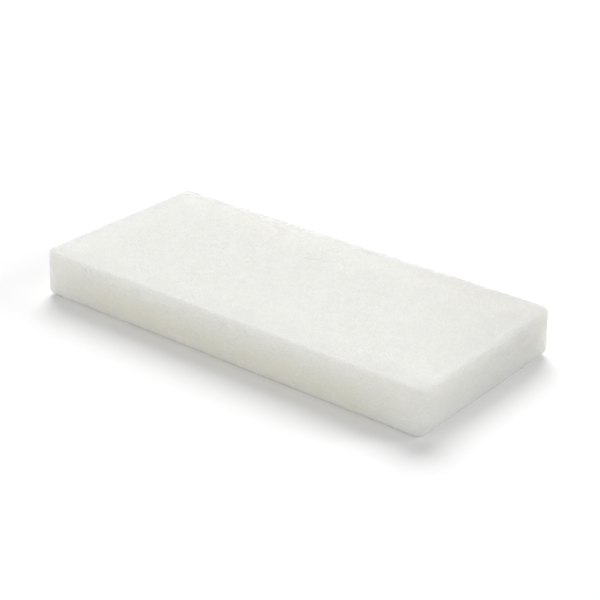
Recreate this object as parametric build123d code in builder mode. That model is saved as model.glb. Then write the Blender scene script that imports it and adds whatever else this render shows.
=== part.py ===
from build123d import *
import math
import os

# Utility scrub pad: one slab of lofty, resin-bonded, non-woven fibre web.
# It is knife-cut from a thick web, with nothing sewn, glued or laminated to it.
#
# The slab lies on its underside. The origin is at the middle of the underside, X runs along
# the length, Y across the width and +Z up through the thickness. Sizes are in millimetres.

# Driving dimensions
LENGTH = 254.0  # 10 in, between the short walls at half thickness
WIDTH = 118.5  # nominally 4 5/8 in, between the long walls at half thickness
THICKNESS = 28.0  # a nominal 1 in web at its full, unpressed loft
WALL_SPLAY = 0.85  # each wall stands this much further out at the base than at the top
CORNER_RADIUS = 5.5  # the four corners in plan, measured at the base
TOP_ARRIS_RADIUS = 3.0  # where the knife enters, and the fibres stay short and tight
BASE_ARRIS_RADIUS = 5.0  # where the knife leaves, and the web rolls over further

# The knife cuts the web while it is pressed flat. The cut walls spring back on a slight
# slant, so the plan is drawn at the base and drawn in evenly towards the top face.
base_length = LENGTH + WALL_SPLAY
base_width = WIDTH + WALL_SPLAY
wall_slant = math.degrees(math.atan2(WALL_SPLAY, THICKNESS))

with BuildPart() as scrub_pad:
    # The cut slab, with its slanted walls and rounded corners
    with BuildSketch(Plane.XY):
        RectangleRounded(base_length, base_width, CORNER_RADIUS)
    extrude(amount=THICKNESS, taper=wall_slant)

    # Both rims are soft. Each arris is one unbroken blend along the walls and round the corners.
    top_face = scrub_pad.faces().sort_by(Axis.Z)[-1]
    fillet(top_face.edges(), radius=TOP_ARRIS_RADIUS)
    underside = scrub_pad.faces().sort_by(Axis.Z)[0]
    fillet(underside.edges(), radius=BASE_ARRIS_RADIUS)

scrub_pad.part.label = "scrub_pad"

os.makedirs("parts", exist_ok=True)
export_step(scrub_pad.part, "parts/scrub_pad.step")
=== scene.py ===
import math

import bpy
import numpy as np
from mathutils import Matrix, Vector
from mathutils.bvhtree import BVHTree


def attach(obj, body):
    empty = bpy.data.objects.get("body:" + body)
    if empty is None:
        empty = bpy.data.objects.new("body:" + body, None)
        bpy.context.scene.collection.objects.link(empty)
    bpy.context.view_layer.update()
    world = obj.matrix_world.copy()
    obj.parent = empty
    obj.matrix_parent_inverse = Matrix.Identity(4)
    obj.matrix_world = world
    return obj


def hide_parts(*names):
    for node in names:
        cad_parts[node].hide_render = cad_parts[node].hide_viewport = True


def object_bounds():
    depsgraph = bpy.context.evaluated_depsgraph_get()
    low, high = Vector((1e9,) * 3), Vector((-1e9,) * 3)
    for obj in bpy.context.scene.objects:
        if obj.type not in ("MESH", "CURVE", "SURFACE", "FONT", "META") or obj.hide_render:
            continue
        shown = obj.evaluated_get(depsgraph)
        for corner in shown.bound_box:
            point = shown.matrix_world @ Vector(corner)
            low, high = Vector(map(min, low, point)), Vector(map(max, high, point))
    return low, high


# Scrub pad: a knife-cut slab of white non-woven fibre web, lying flat.
# Lengths are metres, and the pad's size and place come from the frame. The materials are laid
# out in millimetres, as their section says.
MM = 0.001

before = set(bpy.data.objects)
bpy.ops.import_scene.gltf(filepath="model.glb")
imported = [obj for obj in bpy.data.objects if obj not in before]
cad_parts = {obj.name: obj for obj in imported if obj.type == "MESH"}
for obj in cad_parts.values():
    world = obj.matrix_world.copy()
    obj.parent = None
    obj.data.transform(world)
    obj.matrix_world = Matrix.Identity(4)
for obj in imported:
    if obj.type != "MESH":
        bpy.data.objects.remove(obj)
cad_low, cad_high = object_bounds()

# The camera, at the photograph's viewing angle. Angles are degrees.
CAMERA_AZIMUTH = 37.92
CAMERA_ELEVATION = 25.74
CAMERA_ROLL = 0.94
CAMERA_DISTANCE = 0.8815
CAMERA_TARGET = Vector((1.35 * MM, 6.85 * MM, 12.0 * MM))
SENSOR_WIDTH = 36.0
FOCAL_LENGTH = 97.4
CLIP_START = 10 * MM
CLIP_END = 100.0


def unit(azimuth, elevation):
    """The direction from the object towards a place at that azimuth and elevation, in degrees."""
    a = math.radians(azimuth)
    e = math.radians(elevation)
    return Vector((math.sin(a) * math.cos(e), -math.cos(a) * math.cos(e), math.sin(e)))


def make_camera():
    back = unit(CAMERA_AZIMUTH, CAMERA_ELEVATION)
    level = Vector((0, 0, 1)).cross(back).normalized()
    upright = back.cross(level)
    roll = math.radians(CAMERA_ROLL)
    right = level * math.cos(roll) + upright * math.sin(roll)
    up = upright * math.cos(roll) - level * math.sin(roll)
    camera = bpy.data.objects.new("camera", bpy.data.cameras.new("camera"))
    bpy.context.scene.collection.objects.link(camera)
    camera.matrix_world = Matrix((right, up, back)).transposed().to_4x4()
    camera.matrix_world.translation = CAMERA_TARGET + back * CAMERA_DISTANCE
    camera.data.sensor_width = SENSOR_WIDTH
    camera.data.lens = FOCAL_LENGTH
    camera.data.clip_start = CLIP_START
    camera.data.clip_end = CLIP_END
    bpy.context.scene.camera = camera


# The web under the outermost fibres: the spacing of its grid, how deep it lies under the CAD
# surface, and how far it stays above the floor
GRID = 1.0 * MM
SKIN_SINK = 0.12 * MM
WEB_CLEARANCE = 0.05 * MM

# Its unevenness is three layers of smooth noise, each with a height and a size across. The noise
# repeats after so many cells.
LOFT_LAYERS = ((0.06 * MM, 9 * MM), (0.025 * MM, 3.1 * MM), (0.02 * MM, 1.4 * MM))
NOISE_LATTICE = 64

# The length below which a direction isn't scaled up, so that nothing is divided by 0
SHORTEST = 1e-12


def value_noise(points, cell, seed):
    """Smooth random values from -1 to 1 at the points, with features about one cell wide."""
    lattice = np.random.default_rng(seed).uniform(-1.0, 1.0, (NOISE_LATTICE,) * 3)
    spot = points / cell
    corner = np.floor(spot).astype(int)
    part = spot - corner
    part = part * part * (3.0 - 2.0 * part)
    total = np.zeros(len(points))
    for step in np.ndindex(2, 2, 2):
        weight = np.abs(1 - np.array(step) - part).prod(1)
        index = (corner + step) % NOISE_LATTICE
        total += weight * lattice[index[:, 0], index[:, 1], index[:, 2]]
    return total


def loft(points):
    """How far the uneven web stands out from the CAD surface there."""
    layers = enumerate(LOFT_LAYERS, 1)
    return sum(height * value_noise(points, cell, seed) for seed, (height, cell) in layers) - SKIN_SINK


def positions(mesh):
    flat = np.zeros(len(mesh.vertices) * 3)
    mesh.vertices.foreach_get("co", flat)
    return flat.reshape(-1, 3)


def normals(mesh):
    flat = np.zeros(len(mesh.vertices) * 3)
    mesh.vertices.foreach_get("normal", flat)
    return flat.reshape(-1, 3)


def normalized(vectors):
    return vectors / np.maximum(np.linalg.norm(vectors, axis=-1, keepdims=True), SHORTEST)


# The soft shading round the rims, because light soaks round them in the web. The shading leans out
# from straight up by so many degrees, at distances in mm from the top rim, which are below 0 on the
# top face and above 0 down the wall and in under the base. The lean points straight out from a core
# that is smaller than the slab by the inset. The meshes take up a share of it.
LEAN_AT = (-10, 0, 8, 20, 26, 34)
LEAN = (0, 8, 24, 50, 80, 180)
SOFT_INSET = 14 * MM
WEB_SHARE = 0.4
FIBRE_SHARE = 0.75


def soft_facing(points):
    """The outward direction there if the rims were far rounder."""
    end, side, top = cad_high
    core_reach = np.array((end, side)) - SOFT_INSET
    core = np.clip(points[:, :2], -core_reach, core_reach)
    sideways = normalized(points[:, :2] - core)
    inward = np.minimum(end - np.abs(points[:, 0]), side - np.abs(points[:, 1]))
    along = top - points[:, 2] - inward * np.sign(points[:, 2] - top / 2)
    lean = np.radians(np.interp(along / MM, LEAN_AT, LEAN))[:, None]
    return np.hstack([sideways * np.sin(lean), np.cos(lean)])


def soften(mesh, share):
    """Shade the mesh smoothly, with its normals turned towards the soft direction by that share."""
    mesh.polygons.foreach_set("use_smooth", [True] * len(mesh.polygons))
    soft = soft_facing(positions(mesh))
    mesh.normals_split_custom_set_from_vertices(normalized(normals(mesh) * (1 - share) + soft * share))


def make_web():
    """The web itself: the CAD slab on an even grid, a little sunk and unevenly lofted."""
    web = bpy.data.objects.new("web_body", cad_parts["scrub_pad"].data.copy())
    bpy.context.scene.collection.objects.link(web)
    grid = web.modifiers.new("even_grid", "REMESH")
    grid.mode = "VOXEL"
    grid.voxel_size = GRID
    depsgraph = bpy.context.evaluated_depsgraph_get()
    mesh = bpy.data.meshes.new_from_object(web.evaluated_get(depsgraph))
    web.modifiers.clear()
    web.data = mesh
    points = positions(mesh)
    points += normals(mesh) * loft(points)[:, None]
    points[:, 2] = np.maximum(points[:, 2], WEB_CLEARANCE)
    mesh.vertices.foreach_set("co", points.ravel())
    mesh.update()
    soften(mesh, WEB_SHARE)
    mesh.materials.clear()
    mesh.materials.append(web_material())
    return web


# The outermost fibres, each one a thin closed tube of three sides. A flat side is turned out, give
# or take a little roll, and the fibres stay just above the floor.
TUBE_SIDES = 3
FLAT_SIDE_OUT = math.pi / 3
ROLL = 0.3
THINNEST = 0.06 * MM
THICKEST = 0.12 * MM
FLOOR_CLEARANCE = 0.01 * MM

# A lying fibre goes on in steps. It turns left and right in crimps, and it wanders off to one side
# by some radians a step and by a new share of that at each step. Each fibre takes its own share of
# a value, between the two numbers of the value's spread.
STEP = 1.4 * MM
CRIMP_WAVE = 5.5 * MM
CRIMP_WAVE_SPREAD = (0.75, 1.35)
CRIMP_SPREAD = (0.5, 1.3)
WANDER = 0.12
STEP_WANDER = 0.25

# It also weaves up and down through the surface, about a level of its own that varies by that share
# of the swing. Both its ends are rooted in the web.
WEAVE_WAVE = 6.0 * MM
WEAVE_WAVE_SPREAD = (0.6, 1.6)
LEVEL = 0.02 * MM
LEVEL_SPREAD = 0.4
SWING = 0.05 * MM
ROOT_DEPTH = -0.25 * MM

# A few fibres stand proud of the rest in a low arch
PROUD_SHARE = 0.02
PROUD_RISE = 0.5 * MM
PROUD_SPREAD = (0.4, 1.0)

# A cut end starts in the web and stands out of the wall, at a tilt from straight out in radians
CUT_TILT = (0.2, 1.25)
CUT_REACH = (0.1 * MM, 0.45 * MM)
CUT_ROOT_BACK = 0.2 * MM
CUT_SAG = 0.1 * MM
CUT_MIDDLE_RISE = 0.3
CUT_MIDDLE_LEAN = 0.4

# The plastic ratio is to pairs of numbers what the golden ratio is to single ones: its powers
# spread them evenly
PLASTIC_RATIO = 1.32471795724

# The seed of each piece's spots. Its shapes have a seed of their own, which is so much higher.
SEEDS = {"top_fibres_a": 1, "top_fibres_b": 2, "wall_fibres": 3, "wall_cut_ends": 4, "underside_fibres": 5}
SHAPE_SEEDS = 10

# How the fibres lie on the two faces and on the walls: the number of steps, how far their headings
# spread either way from straight across the reference, in radians, and how much they crimp
UP = (0.0, 0.0, 1.0)
LENGTHWISE = (1.0, 0.0, 0.0)
FACE_LAY = {"steps": 9, "reference": LENGTHWISE, "spread": math.pi / 2, "crimp": 0.7}
WALL_LAY = {"steps": 5, "reference": UP, "spread": 0.6, "crimp": 0.5}

# The part of the slab that each kind lies on, by the height of the outward direction there, which
# is 1 on top and -1 underneath, and how far past those limits a fibre may run on over a rim
TOP = (0.3, 1.6)
WALLS = (-0.6, 0.6)
UNDERSIDE = (-1.6, -0.3)
RIM_REACH = 0.5
TOP_COUNT = 3500
WALL_COUNT = 2600
CUT_COUNT = 6000
UNDERSIDE_COUNT = 1600


def nearest(skin, points):
    """The nearest places on the CAD surface, and the outward directions there."""
    found = [skin.find_nearest(Vector(point)) for point in points]
    return np.array([spot[0] for spot in found]), np.array([spot[1] for spot in found])


def even_pairs(count, seed):
    """Pairs of numbers from 0 to 1 that fill the square evenly, without rows or clumps."""
    steps = np.arange(count)[:, None] * np.array([1 / PLASTIC_RATIO, 1 / PLASTIC_RATIO ** 2])
    return (np.random.default_rng(seed).random(2) + steps) % 1.0


def spots_on_face(count, height, seed):
    """Evenly spread points over the slab's plan, at that height."""
    pairs = even_pairs(count, seed)
    return np.stack([
        cad_low[0] + pairs[:, 0] * (cad_high[0] - cad_low[0]),
        cad_low[1] + pairs[:, 1] * (cad_high[1] - cad_low[1]),
        np.full(count, height),
    ], 1)


def spots_on_walls(count, seed):
    """Evenly spread points round the four walls."""
    length = cad_high[0] - cad_low[0]
    width = cad_high[1] - cad_low[1]
    pairs = even_pairs(count, seed)
    around = pairs[:, 0] * 2 * (length + width)
    x = np.clip(around, 0, length) - np.clip(around - length - width, 0, length)
    y = np.clip(around - length, 0, width) - np.clip(around - 2 * length - width, 0, width)
    return np.stack([cad_low[0] + x, cad_low[1] + y, cad_high[2] * pairs[:, 1]], 1)


def headings(outward, reference, spread, random):
    """A direction along the surface for each fibre, within the spread of straight across the reference."""
    level = normalized(np.cross(reference, outward))
    upward = np.cross(outward, level)
    angle = random.uniform(-spread, spread, len(outward)) + math.pi * random.integers(0, 2, len(outward))
    return level * np.cos(angle)[:, None] + upward * np.sin(angle)[:, None]


def walk(skin, start, outward, ahead, steps, crimp, random):
    """The points of crimped lines along the surface, and the outward direction at each."""
    count = len(start)
    phase = random.uniform(0, 2 * math.pi, count)
    wave = STEP * 2 * math.pi / (CRIMP_WAVE * random.uniform(*CRIMP_WAVE_SPREAD, count))
    swing = crimp * random.uniform(*CRIMP_SPREAD, count)
    drift = WANDER * random.normal(size=count)
    line = [start]
    out = [outward]
    for k in range(steps):
        turn = swing * (np.sin(phase + wave * (k + 1)) - np.sin(phase + wave * k)) + drift
        turn += STEP_WANDER * WANDER * random.normal(size=count)
        turn = turn[:, None]
        side = np.cross(out[-1], ahead)
        ahead = ahead * np.cos(turn) + side * np.sin(turn)
        place, facing = nearest(skin, line[-1] + ahead * STEP)
        ahead = normalized(ahead - facing * (ahead * facing).sum(axis=1, keepdims=True))
        line.append(place)
        out.append(facing)
    return np.stack(line, 1), np.stack(out, 1)


def tubes(name, paths, outward, kept, random):
    """One mesh of closed tubes along the paths, in which only the kept points of each path count."""
    count, length = kept.shape
    radii = random.uniform(THINNEST, THICKEST, count) / 2
    along = normalized(np.gradient(paths, axis=1))
    side = normalized(np.cross(along, outward))
    up = np.cross(side, along)
    turn = FLAT_SIDE_OUT + random.uniform(-ROLL, ROLL, (count, 1, 1))
    rings = []
    for k in range(TUBE_SIDES):
        angle = turn + 2 * math.pi * k / TUBE_SIDES
        rings.append(paths + radii[:, None, None] * (np.cos(angle) * up + np.sin(angle) * side))
    vertices = np.stack(rings, 2)
    vertices[..., 2] = np.maximum(vertices[..., 2], FLOOR_CLEARANCE)

    # The sides join each ring to the next, and a triangle closes each end
    number = np.arange(count * length * TUBE_SIDES).reshape(count, length, TUBE_SIDES)
    joined = kept[:, :-1] & kept[:, 1:]
    near = number[:, :-1][joined]
    far = number[:, 1:][joined]
    faces = []
    for k in range(TUBE_SIDES):
        other = (k + 1) % TUBE_SIDES
        faces.append(np.stack([near[:, k], far[:, other], far[:, k]], 1))
        faces.append(np.stack([near[:, k], near[:, other], far[:, other]], 1))
    last = kept.sum(1) - 1
    long_enough = last > 0
    faces.append(number[long_enough, 0][:, ::-1])
    faces.append(number[long_enough, last[long_enough]])
    faces = np.concatenate(faces)

    # Only the points that a face uses go into the mesh
    used = np.unique(faces)
    renumber = np.zeros(number.size, int)
    renumber[used] = np.arange(len(used))
    mesh = bpy.data.meshes.new(name)
    mesh.from_pydata(vertices.reshape(-1, 3)[used], [], renumber[faces])
    soften(mesh, FIBRE_SHARE)
    piece = bpy.data.objects.new(name, mesh)
    bpy.context.scene.collection.objects.link(piece)
    return piece


def lying_fibres(name, skin, spots, slopes, lay):
    """Crimped fibres woven in and out of the outside of the web, where its slopes are in that range."""
    random = np.random.default_rng(SHAPE_SEEDS + SEEDS[name])
    count = len(spots)
    start, facing = nearest(skin, spots)
    ahead = headings(facing, lay["reference"], lay["spread"], random)
    line, out = walk(skin, start, facing, ahead, lay["steps"], lay["crimp"], random)
    low = slopes[0] + RIM_REACH * random.uniform(-1, 1, (count, 1))
    high = slopes[1] + RIM_REACH * random.uniform(-1, 1, (count, 1))
    inside = (out[:, :, 2] > low) & (out[:, :, 2] < high)
    kept = np.logical_and.accumulate(inside, axis=1)

    along = np.arange(lay["steps"] + 1) * STEP
    phase = random.uniform(0, 2 * math.pi, (count, 1))
    wave = 2 * math.pi / (WEAVE_WAVE * random.uniform(*WEAVE_WAVE_SPREAD, (count, 1)))
    own_level = LEVEL + random.normal(0, LEVEL_SPREAD * SWING, (count, 1))
    height = own_level + SWING * np.sin(phase + wave * along)
    proud = random.random(count) < PROUD_SHARE
    rise = PROUD_RISE * random.uniform(*PROUD_SPREAD, (proud.sum(), 1))
    height[proud] += rise * np.sin(math.pi * along / along[-1]) ** 2
    height[:, 0] = ROOT_DEPTH
    height[np.arange(count), kept.sum(1) - 1] = ROOT_DEPTH
    height += loft(line.reshape(-1, 3)).reshape(height.shape)
    return tubes(name, line + out * height[..., None], out, kept, random)


def cut_ends(name, skin, spots):
    """The short ends that the knife left standing out of the cut walls."""
    random = np.random.default_rng(SHAPE_SEEDS + SEEDS[name])
    count = len(spots)
    start, facing = nearest(skin, spots)
    start += facing * loft(start)[:, None]
    lean = headings(facing, UP, math.pi / 2, random)
    tilt = random.uniform(*CUT_TILT, (count, 1))
    reach = random.uniform(*CUT_REACH, (count, 1))
    outward = facing * reach * np.cos(tilt)
    aside = lean * reach * np.sin(tilt)
    rooted = start + facing * ROOT_DEPTH - lean * CUT_ROOT_BACK
    middle = start + CUT_MIDDLE_RISE * outward - facing * CUT_SAG + CUT_MIDDLE_LEAN * aside
    paths = np.stack([rooted, middle, start + outward + aside], 1)
    kept = np.ones(paths.shape[:2], bool)
    return tubes(name, paths, np.repeat(facing[:, None], paths.shape[1], 1), kept, random)


def make_top_fibres(skin, material):
    """The fibres on the top face, in two meshes to keep each one small."""
    pieces = []
    for name in ("top_fibres_a", "top_fibres_b"):
        spots = spots_on_face(TOP_COUNT, cad_high[2], SEEDS[name])
        piece = lying_fibres(name, skin, spots, TOP, FACE_LAY)
        piece.data.materials.append(material)
        pieces.append(piece)
    return pieces


def make_wall_fibres(skin, material):
    """The fibres that lie along the cut walls, and the cut ends that stand out of them."""
    lying_spots = spots_on_walls(WALL_COUNT, SEEDS["wall_fibres"])
    cut_spots = spots_on_walls(CUT_COUNT, SEEDS["wall_cut_ends"])
    pieces = [
        lying_fibres("wall_fibres", skin, lying_spots, WALLS, WALL_LAY),
        cut_ends("wall_cut_ends", skin, cut_spots),
    ]
    for piece in pieces:
        piece.data.materials.append(material)
    return pieces


def make_underside_fibres(skin, material):
    """The fibres on the underside, which lie just clear of the floor."""
    spots = spots_on_face(UNDERSIDE_COUNT, cad_low[2], SEEDS["underside_fibres"])
    piece = lying_fibres("underside_fibres", skin, spots, UNDERSIDE, FACE_LAY)
    piece.data.materials.append(material)
    return [piece]


# A map for baking lays each mesh out as six flat pictures, with this gap between them
MAP_GAP = 4 * MM


def bake_map(mesh):
    """Unwrap the mesh onto six flat pictures, one for each side of the slab."""
    end, side, top = cad_high
    centres = np.zeros(len(mesh.polygons) * 3)
    mesh.polygons.foreach_get("center", centres)
    x, y, z = centres.reshape(-1, 3).T
    nearest_side = np.stack([end - x, end + x, side - y, side + y, top - z, z]).argmin(0)
    sizes = np.zeros(len(mesh.polygons), int)
    mesh.polygons.foreach_get("loop_total", sizes)
    nearest_side = np.repeat(nearest_side, sizes)
    vertex = np.zeros(len(mesh.loops), int)
    mesh.loops.foreach_get("vertex_index", vertex)
    x, y, z = positions(mesh)[vertex].T
    across = np.choose(nearest_side, [side + y, side - y, end - x, end + x, end + x, end - x])
    upward = np.choose(nearest_side, [z, z, z, z, side + y, side + y])

    # From the bottom of the map up come the two faces and then the two long walls, one over the
    # other, and at the top the two short walls side by side
    width_room = 2 * side + MAP_GAP
    wall_room = top + MAP_GAP
    long_walls = 2 * width_room
    short_walls = long_walls + 2 * wall_room
    left = np.choose(nearest_side, [0, width_room, 0, 0, 0, 0])
    bases = [short_walls, short_walls, long_walls, long_walls + wall_room, 0, width_room]
    base = np.choose(nearest_side, bases)
    spots = np.stack([left + across + MAP_GAP / 2, base + upward + MAP_GAP / 2], 1)
    layer = mesh.uv_layers.new(name="OFBake")
    layer.uv.foreach_set("vector", (spots / (short_walls + wall_room)).ravel())


# The materials are laid out in millimetres: the sizes and offsets of their noises and strands, and
# the bands where the colour changes. A band runs from the distance where the change starts to the
# distance where it is full, both measured in from the slab's end, side or top.
COARSE_NET = {"size": 1.3, "width": 0.30, "offset": 0.0}
FINE_NET = {"size": 0.8, "width": 0.22, "offset": 31.0}
FINE_SHARE = 0.8
STRAND_WARP = {"size": 1.7, "detail": 2.0}
CLOUD = {"size": 6.0, "detail": 3.0, "offset": 7.0}
GRAIN = {"size": 0.7, "detail": 1.0, "offset": 3.0}
GRAIN_SHARE = 0.8
GAP_DARK = (0.66, 0.655, 0.61)
GAP_LIGHT = (0.69, 0.685, 0.64)
STRAND_COLOUR = (0.73, 0.73, 0.70)
BUMP_STRENGTH = 0.5
BUMP_HEIGHT = 0.08 * MM
WEB_ROUGHNESS = 0.7

# How far light soaks into the web, and how much of it does
SOAK_DEPTH = 40 * MM
SOAK_WEIGHT = 0.9
SOAK_BY_COLOUR = (1.0, 0.95, 0.85)

FIBRE_CLOUD = {"size": 1.5, "detail": 2.0, "offset": 11.0}
FACE_FIBRES = ((0.765, 0.77, 0.732), (0.825, 0.832, 0.803))
# The wall fibres are painted lighter than the face fibres: painted light, standing in for the light that
# the steep walls get less of
WALL_FIBRES_PAINTED_LIGHTER = ((0.82, 0.82, 0.785), (0.90, 0.90, 0.87))
FIBRE_ROUGHNESS = 0.55

# Painted shade: a darker rim round the top face, stronger towards the right and the back, where X plus Y
# is large
RIM_PAINTED_SHADE = (0.87, 0.87, 0.875)
RIM_END_BAND = (22, 3)
RIM_END_SHARE = 0.5
RIM_SIDE_BAND = (20, 3)
RIM_UPPER_BAND = (5, 0)
RIM_RAKE = (-100, 140)
RIM_LEAST = 0.5

# Painted shade: a darker, cooler rim along the back and the left of the top face
COOL_PAINTED_SHADE = (0.90, 0.912, 0.938)
COOL_BACK_BAND = (11, 3)
COOL_LEFT_BAND = (14, 2)
COOL_UPPER_BAND = (4, 1)

# Painted shade: darker corners, and a gentle darkening from the middle towards the back right corner
CORNER_PAINTED_SHADE = (0.91, 0.91, 0.91)
CORNER_BAND = (14, 0)
FAR_PAINTED_SHADE = (0.90, 0.90, 0.90)
FAR_START = 60

# Warmer patches low on the long walls, strongest near the bottom, which fade out towards the corners
LOW_WARM_TINT = (0.995, 0.972, 0.885)
LOW_WARM_WALL_BAND = (5, 1)
LOW_WARM_END_BAND = (0, 50)
LOW_WARM_HEIGHTS = (25, 6)
LOW_WARM_PATCHES = {"size": 22.0, "detail": 3.0, "offset": 17.0}
LOW_WARM_PATCH_RANGE = (0.0, 0.6)

# The colour sockets of a Mix node, by number, because several of its sockets share a name
MIX_FIRST = 6
MIX_SECOND = 7
MIX_RESULT = 2


class Nodes:
    """A material's node tree, with short ways to add what the web needs."""

    def __init__(self, name):
        self.material = bpy.data.materials.new(name)
        self.material.use_nodes = True
        self.tree = self.material.node_tree
        self.shader = self.tree.nodes["Principled BSDF"]
        place = self.tree.nodes.new("ShaderNodeTexCoord")
        scaled = self.tree.nodes.new("ShaderNodeVectorMath")
        scaled.operation = "SCALE"
        scaled.inputs["Scale"].default_value = 1 / MM
        self.link(place.outputs["Object"], scaled.inputs[0])
        self.spot = scaled.outputs["Vector"]

    def link(self, output, socket):
        self.tree.links.new(output, socket)

    def math(self, operation, *values):
        node = self.tree.nodes.new("ShaderNodeMath")
        node.operation = operation
        for socket, value in zip(node.inputs, values):
            if isinstance(value, (int, float)):
                socket.default_value = value
            else:
                self.link(value, socket)
        return node.outputs["Value"]

    def noise(self, size, detail, offset):
        """A noise node with features of that size, whose values run from about 0 to 1."""
        moved = self.tree.nodes.new("ShaderNodeVectorMath")
        moved.operation = "ADD"
        moved.inputs[1].default_value = (offset, offset, offset)
        self.link(self.spot, moved.inputs[0])
        node = self.tree.nodes.new("ShaderNodeTexNoise")
        node.inputs["Scale"].default_value = 1 / size
        node.inputs["Detail"].default_value = detail
        self.link(moved.outputs["Vector"], node.inputs["Vector"])
        return node

    def strands(self, size, width, offset):
        """A net of wavering strands: 1 along a strand and 0 in the gaps."""
        warp = self.noise(STRAND_WARP["size"] * size, STRAND_WARP["detail"], offset)
        away = self.tree.nodes.new("ShaderNodeVectorMath")
        away.operation = "MULTIPLY_ADD"
        self.link(warp.outputs["Color"], away.inputs[0])
        away.inputs[1].default_value = (size, size, size)
        self.link(self.spot, away.inputs[2])
        cells = self.tree.nodes.new("ShaderNodeTexVoronoi")
        cells.feature = "DISTANCE_TO_EDGE"
        cells.inputs["Scale"].default_value = 1 / size
        self.link(away.outputs["Vector"], cells.inputs["Vector"])
        return self.ramp(cells.outputs["Distance"], width / size, 0.0)

    def ramp(self, value, start, end):
        """Smoothly from 0 where the value is start to 1 where it is end."""
        node = self.tree.nodes.new("ShaderNodeMapRange")
        node.interpolation_type = "SMOOTHSTEP"
        node.inputs["From Min"].default_value = min(start, end)
        node.inputs["From Max"].default_value = max(start, end)
        node.inputs["To Min"].default_value = float(start > end)
        node.inputs["To Max"].default_value = float(start < end)
        self.link(value, node.inputs["Value"])
        return node.outputs["Result"]

    def near(self, value, edge, band):
        """Smoothly from 0 to 1 over that band of distances below the edge."""
        return self.ramp(value, edge - band[0], edge - band[1])

    def tinted(self, colour, tint, amount):
        """The colour multiplied by the tint, by that amount."""
        node = self.tree.nodes.new("ShaderNodeMix")
        node.data_type = "RGBA"
        node.blend_type = "MULTIPLY"
        self.link(amount, node.inputs["Factor"])
        self.link(colour, node.inputs[MIX_FIRST])
        node.inputs[MIX_SECOND].default_value = (*tint, 1)
        return node.outputs[MIX_RESULT]

    def mix(self, amount, first, second):
        """The first colour where the amount is 0 and the second where it is 1."""
        node = self.tree.nodes.new("ShaderNodeMix")
        node.data_type = "RGBA"
        self.link(amount, node.inputs["Factor"])
        for number, colour in ((MIX_FIRST, first), (MIX_SECOND, second)):
            if isinstance(colour, tuple):
                node.inputs[number].default_value = (*colour, 1)
            else:
                self.link(colour, node.inputs[number])
        return node.outputs[MIX_RESULT]


def placed_colour(nodes, colour):
    """That colour, with painted shade by its place on the slab, and warmer in patches low on the long
    walls.
    """
    split = nodes.tree.nodes.new("ShaderNodeSeparateXYZ")
    nodes.link(nodes.spot, split.inputs["Vector"])
    lengthwise = split.outputs["X"]
    crosswise = split.outputs["Y"]
    height = split.outputs["Z"]
    x = nodes.math("ABSOLUTE", lengthwise)
    y = nodes.math("ABSOLUTE", crosswise)
    rake = nodes.math("ADD", lengthwise, crosswise)
    end, side, top = np.array(cad_high) / MM

    # Painted shade: the top face's rim is darkened, more towards the right and the back
    end_rim = nodes.math("MULTIPLY", nodes.near(x, end, RIM_END_BAND), RIM_END_SHARE)
    rim = nodes.math("MAXIMUM", end_rim, nodes.near(y, side, RIM_SIDE_BAND))
    strength = nodes.math("MAXIMUM", nodes.ramp(rake, *RIM_RAKE), RIM_LEAST)
    rim = nodes.math("MULTIPLY", rim, strength)
    rim = nodes.math("MULTIPLY", rim, nodes.near(height, top, RIM_UPPER_BAND))
    colour = nodes.tinted(colour, RIM_PAINTED_SHADE, rim)

    # Painted shade: a darker, cooler rim along the back and the left of the top face
    behind = nodes.near(crosswise, side, COOL_BACK_BAND)
    leftward = nodes.ramp(lengthwise, COOL_LEFT_BAND[0] - end, COOL_LEFT_BAND[1] - end)
    cool = nodes.math("MAXIMUM", behind, leftward)
    cool = nodes.math("MULTIPLY", cool, nodes.near(height, top, COOL_UPPER_BAND))
    colour = nodes.tinted(colour, COOL_PAINTED_SHADE, cool)

    # Painted shade: darker corners, and darker from the middle towards the back right corner
    corner = nodes.math("MULTIPLY", nodes.near(x, end, CORNER_BAND), nodes.near(y, side, CORNER_BAND))
    colour = nodes.tinted(colour, CORNER_PAINTED_SHADE, corner)
    colour = nodes.tinted(colour, FAR_PAINTED_SHADE, nodes.ramp(rake, FAR_START, end + side))

    # Warmer patches low on the long walls, strongest near the bottom, fading towards the corners
    wall = nodes.math("MULTIPLY", nodes.near(y, side, LOW_WARM_WALL_BAND), nodes.near(x, end, LOW_WARM_END_BAND))
    patches = nodes.ramp(nodes.noise(**LOW_WARM_PATCHES).outputs["Fac"], *LOW_WARM_PATCH_RANGE)
    low_warmth = nodes.math("MULTIPLY", wall, patches)
    low_warmth = nodes.math("MULTIPLY", low_warmth, nodes.ramp(height, *LOW_WARM_HEIGHTS))
    return nodes.tinted(colour, LOW_WARM_TINT, low_warmth)


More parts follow.
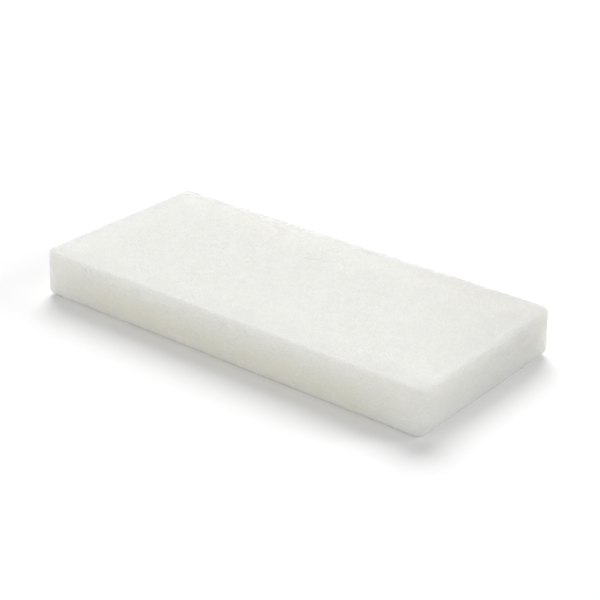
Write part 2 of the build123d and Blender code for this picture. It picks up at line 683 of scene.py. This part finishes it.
def web_material():
    """The bonded web under the outermost fibres: a dense net of strands that light soaks into."""
    nodes = Nodes("web")
    fine = nodes.math("MULTIPLY", nodes.strands(**FINE_NET), FINE_SHARE)
    net = nodes.math("MAXIMUM", nodes.strands(**COARSE_NET), fine)
    gap_colour = nodes.mix(nodes.noise(**CLOUD).outputs["Fac"], GAP_DARK, GAP_LIGHT)
    colour = nodes.mix(net, gap_colour, STRAND_COLOUR)
    nodes.link(placed_colour(nodes, colour), nodes.shader.inputs["Base Color"])

    grain = nodes.math("MULTIPLY", nodes.noise(**GRAIN).outputs["Fac"], GRAIN_SHARE)
    bump = nodes.tree.nodes.new("ShaderNodeBump")
    bump.inputs["Strength"].default_value = BUMP_STRENGTH
    bump.inputs["Distance"].default_value = BUMP_HEIGHT
    nodes.link(nodes.math("ADD", net, grain), bump.inputs["Height"])
    nodes.link(bump.outputs["Normal"], nodes.shader.inputs["Normal"])

    nodes.shader.inputs["Roughness"].default_value = WEB_ROUGHNESS
    nodes.shader.inputs["Subsurface Weight"].default_value = SOAK_WEIGHT
    nodes.shader.inputs["Subsurface Radius"].default_value = SOAK_BY_COLOUR
    nodes.shader.inputs["Subsurface Scale"].default_value = SOAK_DEPTH
    return nodes.material


def fibre_material(name, colours):
    """The outermost fibres, which vary a little from place to place between two whites."""
    nodes = Nodes(name)
    colour = nodes.mix(nodes.noise(**FIBRE_CLOUD).outputs["Fac"], *colours)
    nodes.link(placed_colour(nodes, colour), nodes.shader.inputs["Base Color"])
    nodes.shader.inputs["Roughness"].default_value = FIBRE_ROUGHNESS
    return nodes.material


# The floor and the studio's light. Each light is wide and distant. Its turn round from the camera,
# its elevation and its spread are degrees, and its share is of the light that makes the floor white.
# One light casts no shadow, so that the line under the pad stays soft.
FLOOR_REACH = 20.0
FLOOR_COLOUR = (0.94, 0.94, 0.94, 1)
FLOOR_ROUGHNESS = 0.9
LIGHTS = {
    "key": {"turn": 182, "elevation": 47, "spread": 40, "share": 0.55},
    "right": {"turn": 90, "elevation": 20, "spread": 30, "share": 0.115},
    "front_left": {"turn": -45, "elevation": 30, "spread": 40, "share": 0.08},
    "fill_left": {"turn": -45, "elevation": 30, "spread": 40, "share": 0.13, "shadow": False},
    "front_right": {"turn": 45, "elevation": 30, "spread": 40, "share": 0.05},
}
WHITE = (1, 1, 1, 1)
ROUND_LIGHT = 0.18
BACKDROP = 1.1


def make_floor():
    mesh = bpy.data.meshes.new("floor")
    reach = FLOOR_REACH
    corners = [(-reach, -reach, 0), (reach, -reach, 0), (reach, reach, 0), (-reach, reach, 0)]
    mesh.from_pydata(corners, [], [(0, 1, 2, 3)])
    floor = bpy.data.objects.new("floor", mesh)
    bpy.context.scene.collection.objects.link(floor)
    material = bpy.data.materials.new("floor")
    material.use_nodes = True
    shader = material.node_tree.nodes["Principled BSDF"]
    shader.inputs["Base Color"].default_value = FLOOR_COLOUR
    shader.inputs["Roughness"].default_value = FLOOR_ROUGHNESS
    shader.inputs["Specular IOR Level"].default_value = 0.0
    floor.data.materials.append(material)


def make_light(name, turn, elevation, spread, share, shadow=True):
    light = bpy.data.lights.new(name, "SUN")
    light.energy = share * math.pi / math.sin(math.radians(elevation))
    light.angle = math.radians(spread)
    light.use_shadow = shadow
    lamp = bpy.data.objects.new(name, light)
    bpy.context.scene.collection.objects.link(lamp)
    lamp.rotation_mode = "QUATERNION"
    lamp.rotation_quaternion = unit(CAMERA_AZIMUTH + turn, elevation).to_track_quat("Z", "Y")


def make_world():
    """Soft light from all round, in front of a plain white backdrop."""
    world = bpy.data.worlds.new("studio")
    world.use_nodes = True
    bpy.context.scene.world = world
    nodes = world.node_tree.nodes
    links = world.node_tree.links
    fill = nodes["Background"]
    fill.inputs["Color"].default_value = WHITE
    fill.inputs["Strength"].default_value = ROUND_LIGHT
    seen = nodes.new("ShaderNodeBackground")
    seen.inputs["Color"].default_value = WHITE
    seen.inputs["Strength"].default_value = BACKDROP
    path = nodes.new("ShaderNodeLightPath")
    either = nodes.new("ShaderNodeMixShader")
    links.new(path.outputs["Is Camera Ray"], either.inputs["Fac"])
    links.new(fill.outputs["Background"], either.inputs[1])
    links.new(seen.outputs["Background"], either.inputs[2])
    links.new(either.outputs["Shader"], nodes["World Output"].inputs["Surface"])


make_camera()
make_floor()
for light_name, settings in LIGHTS.items():
    make_light(light_name, **settings)
make_world()
bpy.context.scene.view_settings.view_transform = "Standard"

skin = BVHTree.FromObject(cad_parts["scrub_pad"], bpy.context.evaluated_depsgraph_get())
web = make_web()
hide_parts("scrub_pad")

face_fibre = fibre_material("face_fibre", FACE_FIBRES)
# Painted light: the wall fibres' colours are lighter to make up for the light the walls get less of
wall_fibre_painted_lighter = fibre_material("wall_fibre_painted_lighter", WALL_FIBRES_PAINTED_LIGHTER)
fibres = make_top_fibres(skin, face_fibre)
fibres += make_wall_fibres(skin, wall_fibre_painted_lighter)
fibres += make_underside_fibres(skin, face_fibre)
for piece in fibres:
    piece.visible_shadow = False
for piece in [web] + fibres:
    bake_map(piece.data)
    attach(piece, "root")
